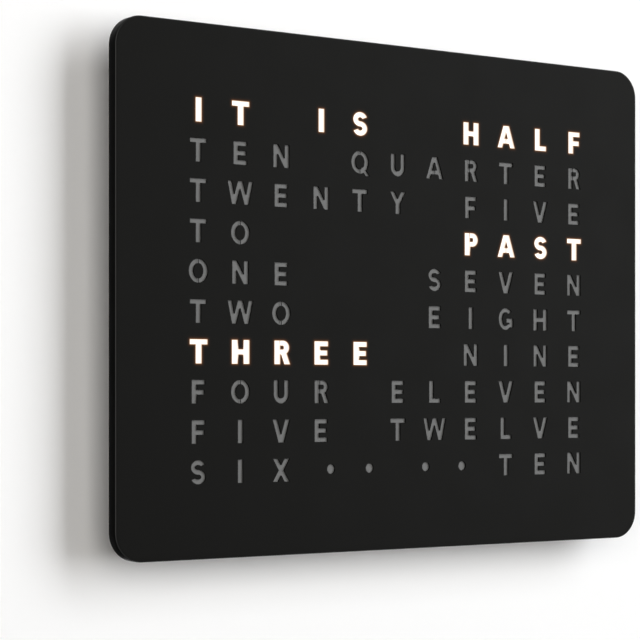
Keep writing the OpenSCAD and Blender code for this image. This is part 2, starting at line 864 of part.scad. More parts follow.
module board_screws() {
    color("#c8c8c8") at_panel()
        for (p = board_holes)
            translate([p.x, 0, p.y]) mirror([0, 1, 0])
                screw(tapping_d, pcb_t + post_h, tapping_head_d, tapping_head_h, -y_board);
}

// --- Power inlet -----------------------------------------------------------

module power_inlet() {
    color("#16171a") at_panel()
        translate([inlet_x, y_bay_mid, z_floor - wall_t])
            difference() {
                union() {
                    translate([0, 0, -inlet_flange_h])
                        cylinder(d = inlet_flange_d, h = inlet_flange_h);
                    translate([0, 0, -inlet_flange_h])
                        cylinder(d = inlet_d, h = inlet_len + inlet_flange_h);
                }
                translate([0, 0, -inlet_flange_h - past])
                    cylinder(d = socket_d, h = socket_depth + past);
                cylinder(d = pin_d + 2 * fit_gap, h = inlet_len - pin_back);
            }
}

module inlet_pin() {
    color("#d0b060") at_panel()
        translate([inlet_x, y_bay_mid, z_floor - wall_t])
            cylinder(d = pin_d, h = inlet_len - pin_back);
}

module inlet_nut() {
    color("#b0b2b5") at_panel()
        translate([inlet_x, y_bay_mid, z_floor])
            difference() {
                cylinder(d = nut_af / cos(30), h = nut_h, $fn = 6);
                translate([0, 0, -past]) cylinder(d = inlet_d + 2 * fit_gap, h = nut_h + 2 * past);
            }
}

// --- Leads -----------------------------------------------------------------

// From the back of the inlet straight up into its header.
module power_lead() {
    color("#a02020") at_panel()
        for (k = [-1, 1])
            wire([[inlet_x + wire_step * k, y_bay_mid, z_floor - wall_t + inlet_len],
                  [headers[0][0].x + wire_step * k, y_lead, board_z + headers[0][0].y]], wire_d);
}

// From its header to the left end of the bottom row, through the carrier.
module strip_lead() {
    p = headers[1][0];
    color("#3060a0") at_panel()
        for (k = [-1, 0, 1]) {
            x = -jumper_x - jumper_step * k;
            z = board_z + p.y + wire_step * k;
            wire([[p.x, y_lead, z], [x, y_lead, z], [x, y_lead, row_z(rows - 1)],
                  [x, y_strips, row_z(rows - 1)]], wire_d);
        }
}

// From its header to the top of the button board.
module button_lead() {
    p = headers[2][0];
    color("#e0c040") at_panel()
        for (k = [-1, 0, 1]) {
            x = button_x - button_pitch / 2 + wire_step * k;
            z = board_z + p.y + wire_step * k;
            wire([[p.x, y_lead, z], [x, y_lead, z], [x, y_lead, z_button_board + pcb_t]], wire_d);
        }
}

// --- Set buttons -----------------------------------------------------------

module button_board() {
    color("#1f5a3a") at_panel()
        translate([button_x - button_board_w / 2, y_bay_mid - button_board_d / 2, z_button_board])
            cube([button_board_w, button_board_d, pcb_t]);
}

module button_switches() {
    color("#2b2b2e") at_panel()
        for (x = button_xs)
            translate([x, y_bay_mid, z_switch])
                difference() {
                    translate([-switch_size / 2, -switch_size / 2, 0])
                        cube([switch_size, switch_size, switch_h]);
                    translate([0, 0, -past])
                        cylinder(d = plunger_d + 2 * button_gap,
                                 h = past + plunger_in + button_travel + button_gap);
                }
}

// Button cap: a domed peg with a shoulder that stays inside the wall.
module cap(x) {
    color("#303236") at_panel()
        translate([x, y_bay_mid, 0])
            rotate_extrude() {
                z_tip = z_floor - wall_t - cap_out;
                intersection() {
                    translate([0, z_tip]) square([cap_d / 2, z_shoulder + shoulder_h - z_tip]);
                    translate([0, z_tip + crown_r]) circle(crown_r);
                }
                translate([0, z_shoulder]) square([cap_d / 2 + cap_shoulder, shoulder_h]);
            }
}

module plunger(x) {
    color("#e8e8e4") at_panel()
        translate([x, y_bay_mid, z_plunger]) cylinder(d = plunger_d, h = plunger_out + plunger_in);
}

module hour_button() { cap(button_xs[0]); }
module hour_plunger() { plunger(button_xs[0]); }
module minute_button() { cap(button_xs[1]); }
module minute_plunger() { plunger(button_xs[1]); }
module dimmer_button() { cap(button_xs[2]); }
module dimmer_plunger() { plunger(button_xs[2]); }

// --- Nodes -----------------------------------------------------------------

front_plate();
plate_standoffs();
diffuser_sheet();
light_grid();
strip_carrier();
led_strips();
led_packages();
minute_strip();
minute_leds();
row_links();
strip_jumpers();
carrier_screws();
rear_housing();
hanger_plates();
hanger_rivets();
wall_pads();
case_screws();
controller_board();
controller_module();
board_chips();
clock_crystal();
buffer_capacitors();
cell_holder();
backup_cell();
board_headers();
board_screws();
power_inlet();
inlet_pin();
inlet_nut();
power_lead();
strip_lead();
button_lead();
button_board();
button_switches();
hour_button();
hour_plunger();
minute_button();
minute_plunger();
dimmer_button();
dimmer_plunger();
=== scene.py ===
"""Wall-hung word clock: the finish of every surface, and the pieces that the construction leaves plain.

Sizes of the plate, its openings and the screws are in millimetres. Places in the meshes,
the grain of the materials, the lamps, the stage and the camera are in metres.
X runs to the right, Z runs up, the front faces -Y and the wall lies on the +Y side.
"""

import json
import math

import bmesh
import bpy
import numpy as np
from mathutils import Matrix, Vector
from mathutils.geometry import delaunay_2d_cdt


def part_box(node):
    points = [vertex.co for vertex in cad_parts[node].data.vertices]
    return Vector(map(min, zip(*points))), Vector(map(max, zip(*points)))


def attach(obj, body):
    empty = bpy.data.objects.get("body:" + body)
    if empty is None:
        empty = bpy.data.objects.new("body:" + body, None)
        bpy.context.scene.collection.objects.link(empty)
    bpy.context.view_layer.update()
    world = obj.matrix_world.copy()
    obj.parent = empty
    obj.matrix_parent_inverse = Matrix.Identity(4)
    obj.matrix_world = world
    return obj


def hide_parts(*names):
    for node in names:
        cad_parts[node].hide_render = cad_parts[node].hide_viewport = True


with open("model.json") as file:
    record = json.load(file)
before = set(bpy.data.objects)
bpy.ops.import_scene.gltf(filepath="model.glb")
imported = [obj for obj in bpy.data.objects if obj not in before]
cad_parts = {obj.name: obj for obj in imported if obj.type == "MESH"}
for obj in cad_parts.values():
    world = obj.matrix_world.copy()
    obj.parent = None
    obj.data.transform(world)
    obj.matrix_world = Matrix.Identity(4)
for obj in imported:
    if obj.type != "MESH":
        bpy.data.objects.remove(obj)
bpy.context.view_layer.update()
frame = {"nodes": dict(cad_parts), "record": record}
nodes = frame["nodes"]

MM = 0.001
MERGE = 1e-6

# --- What is written on the clock ---------------------------------------------

ROWS = ["IT_IS__HALF",
        "TEN_QUARTER",
        "TWENTY_FIVE",
        "TO_____PAST",
        "ONE___SEVEN",
        "TWO___EIGHT",
        "THREE__NINE",
        "FOUR_ELEVEN",
        "FIVE_TWELVE",
        "SIX_____TEN"]
BLANK = "_"
# Rows with lit words, and which of their letters are lit
LIT = {0: "IT_IS__HALF",
       3: "_______PAST",
       6: "THREE______"}

# --- Sizes --------------------------------------------------------------------

plate_low, plate_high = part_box("front_plate")
Y_FRONT = plate_low.y
Y_RIM_BACK = plate_high.y
Y_PLATE_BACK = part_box("diffuser_sheet")[0].y
Y_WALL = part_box("wall_pads")[1].y
PLATE_Z = (plate_low.z + plate_high.z) / 2
PLATE_W = (plate_high.x - plate_low.x) / MM
PLATE_H = (plate_high.z - plate_low.z) / MM
CORNER_R = 20.0
RIM_T = 2.0
EDGE_R = 0.8
BACK_CHAMFER = 0.3

LED_SIDE = 5.0
led_low, led_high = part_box("led_packages")
PITCH_X = ((led_high.x - led_low.x) / MM - LED_SIDE) / (len(ROWS[0]) - 1)
PITCH_Z = ((led_high.z - led_low.z) / MM - LED_SIDE) / (len(ROWS) - 1)
DOTS_X = (-58.3, -25.0, 25.0, 58.3)
DOT_R = 3.4

# Letters, in millimetres
CAP = 15.8
OVERSHOOT = 0.2
STEM = 4.2
ROUND = 3.9
BAR = 3.0
SHORT_ARM = 0.7
A_CROSS = -3.2
BOWL_LEFT = -5.6
P_BOWL_LOW = -1.4
R_BOWL_LOW = -1.2

# Degrees between the points of a letter's arcs and of the plate's corners
ARC_STEP = 10
CORNER_STEP = 5

# Opal filling of the openings, and the thin bridges that hold the middles of letters
FILL_DROP = 1.2
BRIDGE_W = 0.35
BRIDGE_T = 0.3
BRIDGE_DROP = 0.1
BRIDGE_HOLD = 0.4

# Painted glow round the lit letters, an emission in the paint and on the walls of the lit openings: its
# reach, the spacing of the points that carry it, and its colour at shares of the reach
PAINTED_GLOW_REACH = 3.0
PAINTED_GLOW_GRID = 1.0
PAINTED_GLOW_STOPS = [(0.0, (1.05, 0.92, 0.80)), (0.05, (0.80, 0.52, 0.32)), (0.13, (0.16, 0.065, 0.025)),
              (0.34, (0.030, 0.011, 0.003)), (0.65, (0.006, 0.002, 0.0006)), (1.0, (0, 0, 0))]


# --- Letters ------------------------------------------------------------------
# A letter is a list of strokes, and a stroke is an outline in the letter's own
# plane, with its origin in the middle of the cap height. Strokes may overlap.

TOP = CAP / 2
LOW = -CAP / 2


def arc(cx, cz, rx, rz, start, end, step=ARC_STEP):
    """Points on an ellipse between two angles in degrees."""
    count = max(2, math.ceil(abs(end - start) / step))
    angles = [math.radians(start + (end - start) * i / count) for i in range(count + 1)]
    return [(cx + rx * math.cos(a), cz + rz * math.sin(a)) for a in angles]


def bar(x0, x1, z0, z1):
    return [(x0, z0), (x1, z0), (x1, z1), (x0, z1)]


def slant(x_low, z_low, x_high, z_high, wide):
    """A sloping stroke with level ends, given by the middles of its ends."""
    half = wide / 2
    return [(x_low - half, z_low), (x_low + half, z_low),
            (x_high + half, z_high), (x_high - half, z_high)]


def band(cx, cz, rx, rz, start, end, side=ROUND, cap=BAR):
    """Part of a ring that is side thick at its sides and cap thick at top and bottom."""
    outer = arc(cx, cz, rx, rz, start, end)
    inner = arc(cx, cz, rx - side, rz - cap, end, start)
    return outer + inner


def mirrored(strokes):
    return [[(-x, z) for x, z in stroke] for stroke in strokes]


def both(*strokes):
    return list(strokes) + mirrored(strokes)


def stem_at(x_left, z0=LOW, z1=TOP):
    return bar(x_left, x_left + STEM, z0, z1)


def letter_a():
    half, apex, wide, cross_half = 7.8, 0.6, 3.8, 4.0
    leg = slant(half - wide / 2, LOW, apex, TOP, wide)
    return both(leg) + [bar(-cross_half, cross_half, A_CROSS - BAR / 2, A_CROSS + BAR / 2)]


def letter_e():
    left, right = -5.6, 5.4
    return [stem_at(left), bar(left, right, TOP - BAR, TOP), bar(left, right, LOW, LOW + BAR),
            bar(left, right - SHORT_ARM, -BAR / 2, BAR / 2)]


def letter_f():
    left, right, drop = -5.3, 5.3, 0.4
    return [stem_at(left), bar(left, right, TOP - BAR, TOP),
            bar(left, right - SHORT_ARM, -BAR / 2 - drop, BAR / 2 - drop)]


def letter_g():
    rx, rz = 7.0, TOP + OVERSHOOT
    mouth, lap, shelf_left, shelf_top = 42, 0.6, 0.4, 0.4
    ring = band(0, 0, rx, rz, mouth, 360 - mouth)
    spur = bar(rx - ROUND, rx, -rz * math.sin(math.radians(mouth)) - lap, shelf_top)
    shelf = bar(shelf_left, rx, shelf_top - BAR, shelf_top)
    return [ring, spur, shelf]


def letter_h():
    half = 6.8
    return both(stem_at(-half)) + [bar(-half, half, -BAR / 2, BAR / 2)]


def letter_i():
    return [stem_at(-STEM / 2)]


def letter_l():
    left, right = -5.2, 5.2
    return [stem_at(left), bar(left, right, LOW, LOW + BAR)]


def letter_n():
    half, wide, post = 6.6, 4.1, 3.8
    posts = both(bar(-half, post - half, LOW, TOP))
    return posts + [slant(half - wide / 2, LOW, -half + wide / 2, TOP, wide)]


def letter_o():
    rx, rz = 7.6, TOP + OVERSHOOT
    return [band(0, 0, rx, rz, 0, 180), band(0, 0, rx, rz, 180, 360)]


def bowl(right, low):
    """Bowl of P and R, which ends in a half circle."""
    radius = (TOP - low) / 2
    start = right - radius
    return [bar(BOWL_LEFT, start, TOP - BAR, TOP), bar(BOWL_LEFT, start, low, low + BAR),
            band(start, (TOP + low) / 2, radius, radius, -90, 90)]


def letter_p():
    right = 6.0
    return [stem_at(BOWL_LEFT)] + bowl(right, P_BOWL_LOW)


def letter_q():
    foot, root, below, rise, wide = 6.6, 2.4, 1.6, 4.2, 3.6
    return letter_o() + [slant(foot, LOW - below, root, LOW + rise, wide)]


def letter_r():
    right, splay, root, lap, wide = 6.0, 0.7, 1.6, 1.0, 4.2
    leg = slant(right + splay - wide / 2, LOW, root, R_BOWL_LOW + lap, wide)
    return [stem_at(BOWL_LEFT), leg] + bowl(right, R_BOWL_LOW)


def letter_s():
    rx, side, cap, mouth = 5.8, 3.7, 3.2, 22
    rz = (TOP + OVERSHOOT + cap / 2) / 2
    rise = TOP + OVERSHOOT - rz
    upper = band(0, rise, rx, rz, mouth, 270, side, cap)
    lower = band(0, -rise, rx, rz, 90, mouth - 180, side, cap)
    return [upper, lower]


def letter_t():
    half = 6.7
    return [stem_at(-STEM / 2), bar(-half, half, TOP - BAR, TOP)]


def letter_u():
    half, rz, cap = 6.3, 6.4, 3.6
    turn = LOW - OVERSHOOT + rz
    return both(bar(-half, ROUND - half, turn, TOP)) + [band(0, turn, half, rz, 180, 360, ROUND, cap)]


def letter_v():
    half, apex, wide = 7.2, 0.35, 4.1
    return both(slant(apex, LOW, half - wide / 2, TOP, wide))


def letter_w():
    half, foot, apex, wide = 10.3, 5.0, 0.2, 3.6
    return both(slant(foot, LOW, half - wide / 2, TOP, wide), slant(foot, LOW, apex, TOP, wide))


def letter_x():
    half, wide = 7.0, 4.4
    reach = half - wide / 2
    return [slant(-reach, LOW, reach, TOP, wide), slant(reach, LOW, -reach, TOP, wide)]


def letter_y():
    half, wide, fork, lap = 7.0, 4.1, -0.8, 0.4
    return both(slant(0, fork, half - wide / 2, TOP, wide)) + [stem_at(-STEM / 2, LOW, fork + lap)]


LETTERS = {"A": letter_a, "E": letter_e, "F": letter_f, "G": letter_g, "H": letter_h,
           "I": letter_i, "L": letter_l, "N": letter_n, "O": letter_o, "P": letter_p,
           "Q": letter_q, "R": letter_r, "S": letter_s, "T": letter_t, "U": letter_u,
           "V": letter_v, "W": letter_w, "X": letter_x, "Y": letter_y}


def bowl_bridges(low):
    """Middles of the bridges beside the stem, across the upper and the lower bar of a bowl."""
    x = BOWL_LEFT + STEM + BRIDGE_W / 2
    return [(x, TOP - BAR / 2), (x, low + BAR / 2)]


# Middles of the bridges in the letters that have a closed middle
RING_BRIDGES = [(0, side * (TOP + OVERSHOOT - BAR / 2)) for side in (-1, 1)]
BRIDGES = {"A": [(0, A_CROSS)], "O": RING_BRIDGES, "P": bowl_bridges(P_BOWL_LOW),
           "Q": RING_BRIDGES, "R": bowl_bridges(R_BOWL_LOW)}


def cell_middle(column, row):
    """Middle of a cell, from the middle of the plate."""
    return ((column - (len(ROWS[0]) - 1) / 2) * PITCH_X,
            ((len(ROWS) - 1) / 2 - row) * PITCH_Z)


def placed(stroke, x, z):
    """A stroke at its place on the plate, with its points in anticlockwise order."""
    points = [(x + px, z + pz) for px, pz in stroke]
    after = points[1:] + points[:1]
    area = sum(a[0] * b[1] - b[0] * a[1] for a, b in zip(points, after))
    return points if area > 0 else points[::-1]


def letter_places():
    """Every letter, with the middle of its cell and whether it is lit."""
    for row, text in enumerate(ROWS):
        for column, letter in enumerate(text):
            if letter != BLANK:
                lit = row in LIT and LIT[row][column] != BLANK
                yield (letter, *cell_middle(column, row), lit)


def openings():
    """Outlines of all openings in the plate, with a mark on the lit ones."""
    found = []
    for letter, x, z, lit in letter_places():
        found += [(placed(stroke, x, z), lit) for stroke in LETTERS[letter]()]
    _, z = cell_middle(0, len(ROWS) - 1)
    for dot_x in DOTS_X:
        found.append((arc(dot_x, z, DOT_R, DOT_R, 0, 360)[:-1], False))
    return found


# --- Mesh helpers --------------------------------------------------------------

SHARP_ANGLE = math.radians(30)


def make_piece(bm, name, body, slot, *replaced):
    """Turns a finished bmesh into a piece that rides on a body."""
    mesh = bpy.data.meshes.new(name)
    for face in bm.faces:
        face.smooth = True
    bm.to_mesh(mesh)
    bm.free()
    mesh.set_sharp_from_angle(angle=SHARP_ANGLE)
    piece = bpy.data.objects.new(name, mesh)
    bpy.context.scene.collection.objects.link(piece)
    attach(piece, body)
    if replaced:
        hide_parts(*replaced)
    mesh.materials.append(materials[slot])
    return piece


def set_values(piece, name, values):
    """Stores one value for each vertex, for a material to read."""
    layer = piece.data.attributes.new(name, "FLOAT", "POINT")
    layer.data.foreach_set("value", values.astype(np.float32))


def islands(node_name):
    """Lowest and highest corner of each separate solid of a construction node."""
    bm = bmesh.new()
    bm.from_mesh(nodes[node_name].data)
    bmesh.ops.remove_doubles(bm, verts=bm.verts, dist=MERGE)
    boxes = []
    left = set(bm.verts)
    while left:
        group = []
        stack = [left.pop()]
        while stack:
            vertex = stack.pop()
            group.append(vertex.co)
            for edge in vertex.link_edges:
                other = edge.other_vert(vertex)
                if other in left:
                    left.remove(other)
                    stack.append(other)
        boxes.append((Vector(map(min, zip(*group))), Vector(map(max, zip(*group)))))
    bm.free()
    return sorted(boxes, key=lambda box: (round(box[0].x, 4), round(box[0].z, 4)))


# --- Front plate ----------------------------------------------------------------

HALF_W = PLATE_W / 2
HALF_H = PLATE_H / 2
CORNERS = [(1, 1, 0), (-1, 1, 90), (-1, -1, 180), (1, -1, 270)]
EDGE_STEPS = 4
# How close to a size a point of the mesh has to lie, in millimetres
CLOSE = 1e-3
SKIN = 0.01
# Settings of the cut: keep the triangles inside the outlines, and merge points this close
INSIDE_OUTLINES = 1
CUT_MERGE = 1e-4


def plate_outline(inset):
    """Rounded rectangle that lies inset from the plate's outline."""
    points = []
    for sx, sz, start in CORNERS:
        points += arc(sx * (HALF_W - CORNER_R), sz * (HALF_H - CORNER_R),
                      CORNER_R - inset, CORNER_R - inset, start, start + 90, CORNER_STEP)
    return points


def set_inset(vertex, inset, y):
    """Moves a vertex of the plate's edge to another inset and depth."""
    x, z = vertex.co.x / MM, (vertex.co.z - PLATE_Z) / MM
    cx = math.copysign(HALF_W - CORNER_R, x)
    cz = math.copysign(HALF_H - CORNER_R, z)
    out = Vector((x - cx, z - cz)).normalized() * (CORNER_R - inset)
    vertex.co = Vector(((cx + out.x) * MM, y, (cz + out.y) * MM + PLATE_Z))


def painted_glow_points(lit_strokes):
    """Grid points round the lit letters, where the glow painted on the paint needs them."""
    points = set()
    for stroke in lit_strokes:
        xs, zs = zip(*stroke)
        for i in range(math.floor((min(xs) - PAINTED_GLOW_REACH) / PAINTED_GLOW_GRID),
                       math.ceil((max(xs) + PAINTED_GLOW_REACH) / PAINTED_GLOW_GRID) + 1):
            for j in range(math.floor((min(zs) - PAINTED_GLOW_REACH) / PAINTED_GLOW_GRID),
                           math.ceil((max(zs) + PAINTED_GLOW_REACH) / PAINTED_GLOW_GRID) + 1):
                points.add((i * PAINTED_GLOW_GRID, j * PAINTED_GLOW_GRID))
    return sorted(points)


def distance_to(points, outlines):
    """Distance of each point from the nearest outline, and 0 inside one."""
    nearest = np.full(len(points), PAINTED_GLOW_REACH)
    for outline in outlines:
        ring = np.array(outline)
        low, high = ring.min(0) - PAINTED_GLOW_REACH, ring.max(0) + PAINTED_GLOW_REACH
        near = np.where(((points > low) & (points < high)).all(1))[0]
        if not len(near):
            continue
        p = points[near]
        inside = np.zeros(len(near), bool)
        best = np.full(len(near), PAINTED_GLOW_REACH)
        for a, b in zip(ring, np.roll(ring, -1, axis=0)):
            along = b - a
            t = np.clip(((p - a) @ along) / (along @ along), 0, 1)
            best = np.minimum(best, np.hypot(*(p - a - t[:, None] * along).T))
            crosses = (a[1] > p[:, 1]) != (b[1] > p[:, 1])
            if a[1] != b[1]:
                x_cross = a[0] + (p[:, 1] - a[1]) * along[0] / along[1]
                inside ^= crosses & (p[:, 0] < x_cross)
        best[inside] = 0
        nearest[near] = np.minimum(nearest[near], best)
    return nearest


def cut_sheet(shapes):
    """Triangles of the plate's flat front inside its rim, and those of its openings."""
    outline = plate_outline(RIM_T)
    points = list(outline)
    faces = [list(range(len(outline)))]
    for shape, _ in shapes:
        faces.append(list(range(len(points), len(points) + len(shape))))
        points += shape
    points += painted_glow_points([shape for shape, lit in shapes if lit])
    flat = [Vector(point) for point in points]
    result = delaunay_2d_cdt(flat, [], faces, INSIDE_OUTLINES, CUT_MERGE, True)
    # The sources of a triangle are the outlines that it lies in, and 0 is the plate's own
    corners, _, triangles, _, _, sources = result
    sheet = [t for t, source in zip(triangles, sources) if list(source) == [0]]
    filling = [t for t, source in zip(triangles, sources) if len(source) > 1]
    return corners, sheet, filling


def thick_sheet(bm, corners, triangles, y_front, y_back):
    """Solid slab with the given triangles as its front."""
    vertices = [bm.verts.new((p.x * MM, y_front, p.y * MM + PLATE_Z)) for p in corners]
    for triangle in triangles:
        bm.faces.new([vertices[i] for i in triangle])
    bmesh.ops.delete(bm, geom=[v for v in bm.verts if not v.link_faces], context="VERTS")
    thick = bmesh.ops.extrude_face_region(bm, geom=bm.faces[:], use_keep_orig=True)["geom"]
    for vertex in [v for v in thick if isinstance(v, bmesh.types.BMVert)]:
        vertex.co.y = y_back


def on_outline(vertex):
    """True for a vertex on the outer edge of the pierced sheet."""
    over_x = abs(vertex.co.x) / MM - (HALF_W - CORNER_R)
    over_z = abs(vertex.co.z - PLATE_Z) / MM - (HALF_H - CORNER_R)
    reach = math.hypot(max(over_x, 0), max(over_z, 0))
    return abs(reach - (CORNER_R - RIM_T)) < CLOSE


def edge_profile():
    """Insets and depths round the rim, from the front face to the back of the sheet."""
    profile = [(EDGE_R, Y_FRONT)]
    for i in range(1, EDGE_STEPS + 1):
        turn = math.radians(90 * i / EDGE_STEPS)
        profile.append((EDGE_R * (1 - math.sin(turn)), Y_FRONT + EDGE_R * MM * (1 - math.cos(turn))))
    profile += [(0, Y_RIM_BACK - BACK_CHAMFER * MM), (BACK_CHAMFER, Y_RIM_BACK),
                (RIM_T - BACK_CHAMFER, Y_RIM_BACK), (RIM_T, Y_RIM_BACK - BACK_CHAMFER * MM),
                (RIM_T, Y_PLATE_BACK)]
    return profile


def add_bridges(bm):
    """Thin upright strips across level strokes, which end inside the metal at both ends."""
    y = Y_FRONT + (BRIDGE_DROP + BRIDGE_T / 2) * MM
    size = Matrix.Diagonal((BRIDGE_W * MM, BRIDGE_T * MM, (BAR + 2 * BRIDGE_HOLD) * MM, 1))
    for letter, x, z, _ in letter_places():
        for bridge_x, bridge_z in BRIDGES.get(letter, []):
            middle = Vector(((x + bridge_x) * MM, y, (z + bridge_z) * MM + PLATE_Z))
            bmesh.ops.create_cube(bm, size=1, matrix=Matrix.Translation(middle) @ size)


def build_front_plate(shapes, corners, sheet):
    """The pierced tray, with the distance from lit letters and its rounded edge as attributes."""
    bm = bmesh.new()
    thick_sheet(bm, corners, sheet, Y_FRONT, Y_PLATE_BACK)
    outer = [f for f in bm.faces if all(on_outline(v) for v in f.verts) and abs(f.normal.y) < 0.5]
    bmesh.ops.delete(bm, geom=outer, context="FACES")
    loop = [e for e in bm.edges if len(e.link_faces) == 1 and e.verts[0].co.y < Y_FRONT + MERGE]
    for inset, y in edge_profile():
        grown = bmesh.ops.extrude_edge_only(bm, edges=loop)["geom"]
        loop = [e for e in grown if isinstance(e, bmesh.types.BMEdge)]
        for vertex in [v for v in grown if isinstance(v, bmesh.types.BMVert)]:
            set_inset(vertex, inset, y)
    bmesh.ops.remove_doubles(bm, verts=bm.verts, dist=MERGE)
    add_bridges(bm)
    bmesh.ops.recalc_face_normals(bm, faces=bm.faces)
    plate = make_piece(bm, "pierced_plate", "clock", "plate_paint", "front_plate")
    flat = np.empty(3 * len(plate.data.vertices))
    plate.data.vertices.foreach_get("co", flat)
    places = flat.reshape(-1, 3)
    face = (places[:, (0, 2)] - (0, PLATE_Z)) / MM
    # The distance from the lit letters sets the glow that is painted into the plate's paint as emission
    set_values(plate, "lit_distance", distance_to(face, [s for s, lit in shapes if lit]))
    depth = (places[:, 1] - Y_FRONT) / MM
    rounded = (depth > SKIN) & (depth < EDGE_R - SKIN)
    near_rim = (np.abs(face) > (HALF_W - CORNER_R, HALF_H - CORNER_R)).any(1)
    set_values(plate, "edge", rounded & near_rim)


def build_letter_filling(corners, filling):
    """Opal in every opening, from under the face to the sheet behind the plate."""
    bm = bmesh.new()
    thick_sheet(bm, corners, filling, Y_FRONT + FILL_DROP * MM, Y_PLATE_BACK)
    bmesh.ops.recalc_face_normals(bm, faces=bm.faces)
    make_piece(bm, "letter_filling", "clock", "opal_sheet")


# --- Case screws ------------------------------------------------------------------

SHANK_R = 1.5
HEAD_H = 2.2
HEAD_CHAMFER = 0.35
POINT_H = 0.8
SOCKET_R = 1.45
SOCKET_DEPTH = 1.2
ROUND_SIDES = 24
HEX_SIDES = 6


def carry_on(bm, loop, x, z, steps):
    """Carries a loop round the axis at x, z on through radii and depths."""
    for radius, y in steps:
        grown = bmesh.ops.extrude_edge_only(bm, edges=loop)["geom"]
        loop = [e for e in grown if isinstance(e, bmesh.types.BMEdge)]
        for vertex in [v for v in grown if isinstance(v, bmesh.types.BMVert)]:
            out = Vector((vertex.co.x - x, vertex.co.z - z)).normalized() * radius
            vertex.co = (x + out.x, y, z + out.y)
    return loop


def round_loop(bm, sides, radius, x, y, z, filled=False):
    """Edges of a regular outline across the Y axis."""
    flat = Matrix.Translation((x, y, z)) @ Matrix.Rotation(math.radians(90), 4, "X")
    made = bmesh.ops.create_circle(bm, cap_ends=filled, segments=sides, radius=radius, matrix=flat)
    return list({edge for vertex in made["verts"] for edge in vertex.link_edges})


def case_screw(bm, low, high):
    """Screw with a hexagon socket, whose head faces the wall, in the box of the plain one."""
    x, z = (low.x + high.x) / 2, (low.z + high.z) / 2
    head_r = (high.x - low.x) / 2
    seat = high.y - HEAD_H * MM
    tip = round_loop(bm, ROUND_SIDES, (SHANK_R - POINT_H / 2) * MM, x, low.y, z, filled=True)
    rim = carry_on(bm, tip, x, z, [
        (SHANK_R * MM, low.y + POINT_H * MM), (SHANK_R * MM, seat), (head_r, seat),
        (head_r, high.y - HEAD_CHAMFER * MM), (head_r - HEAD_CHAMFER * MM, high.y)])
    mouth = round_loop(bm, HEX_SIDES, SOCKET_R * MM, x, high.y, z)
    bmesh.ops.bridge_loops(bm, edges=rim + mouth)
    floor = carry_on(bm, mouth, x, z, [(SOCKET_R * MM, high.y - SOCKET_DEPTH * MM)])
    bmesh.ops.contextual_create(bm, geom=floor)


def build_case_screws():
    bm = bmesh.new()
    for low, high in islands("case_screws"):
        case_screw(bm, low, high)
    bmesh.ops.recalc_face_normals(bm, faces=bm.faces)
    make_piece(bm, "socket_screws", "clock", "black_screw", "case_screws")


# --- Node groups ----------------------------------------------------------------

GRAIN_RELIEF = 0.0002
SCRATCH_RELIEF = 0.0001
MOTTLE_SCALE = 28
# Soft edge of a lit run of cells
RUN_EDGE = 0.0015
# Sockets of a Mix node for colours and for numbers, whose names repeat
COLOR_A, COLOR_B, COLOR_OUT = 6, 7, 2
NUMBER_A, NUMBER_B, NUMBER_OUT = 2, 3, 0


def new_group(name, inputs, outputs):
    group = bpy.data.node_groups.new(name, "ShaderNodeTree")
    for label, kind, value in inputs:
        socket = group.interface.new_socket(label, in_out="INPUT", socket_type=kind)
        socket.default_value = value
    for label, kind in outputs:
        group.interface.new_socket(label, in_out="OUTPUT", socket_type=kind)
    return group, group.nodes.new("NodeGroupInput"), group.nodes.new("NodeGroupOutput")


def node(tree, kind, **settings):
    made = tree.nodes.new(kind)
    for key, value in settings.items():
        setattr(made, key, value)
    return made


def math_node(tree, operation, first, second=None, clamp=False):
    made = node(tree, "ShaderNodeMath", operation=operation, use_clamp=clamp)
    for i, value in enumerate((first, second)):
        if value is None:
            continue
        if isinstance(value, (int, float)):
            made.inputs[i].default_value = value
        else:
            tree.links.new(value, made.inputs[i])
    return made.outputs[0]


def group_grain():
    """Even fine texture: a normal and a mottled value, both from object space."""
    group, enter, leave = new_group(
        "grain",
        [("Size", "NodeSocketFloat", 0.001), ("Depth", "NodeSocketFloat", 0.1)],
        [("Normal", "NodeSocketVector"), ("Mottle", "NodeSocketFloat")])
    place = node(group, "ShaderNodeTexCoord").outputs["Object"]
    scale = math_node(group, "DIVIDE", 1.0, enter.outputs["Size"])
    fine = node(group, "ShaderNodeTexNoise", noise_dimensions="3D")
    fine.inputs["Detail"].default_value = 3
    group.links.new(place, fine.inputs["Vector"])
    group.links.new(scale, fine.inputs["Scale"])
    bump = node(group, "ShaderNodeBump")
    bump.inputs["Distance"].default_value = GRAIN_RELIEF
    group.links.new(enter.outputs["Depth"], bump.inputs["Strength"])
    group.links.new(fine.outputs["Fac"], bump.inputs["Height"])
    group.links.new(bump.outputs["Normal"], leave.inputs["Normal"])
    broad = node(group, "ShaderNodeTexNoise", noise_dimensions="3D")
    broad.inputs["Detail"].default_value = 4
    broad.inputs["Scale"].default_value = MOTTLE_SCALE
    group.links.new(place, broad.inputs["Vector"])
    group.links.new(broad.outputs["Fac"], leave.inputs["Mottle"])
    return group


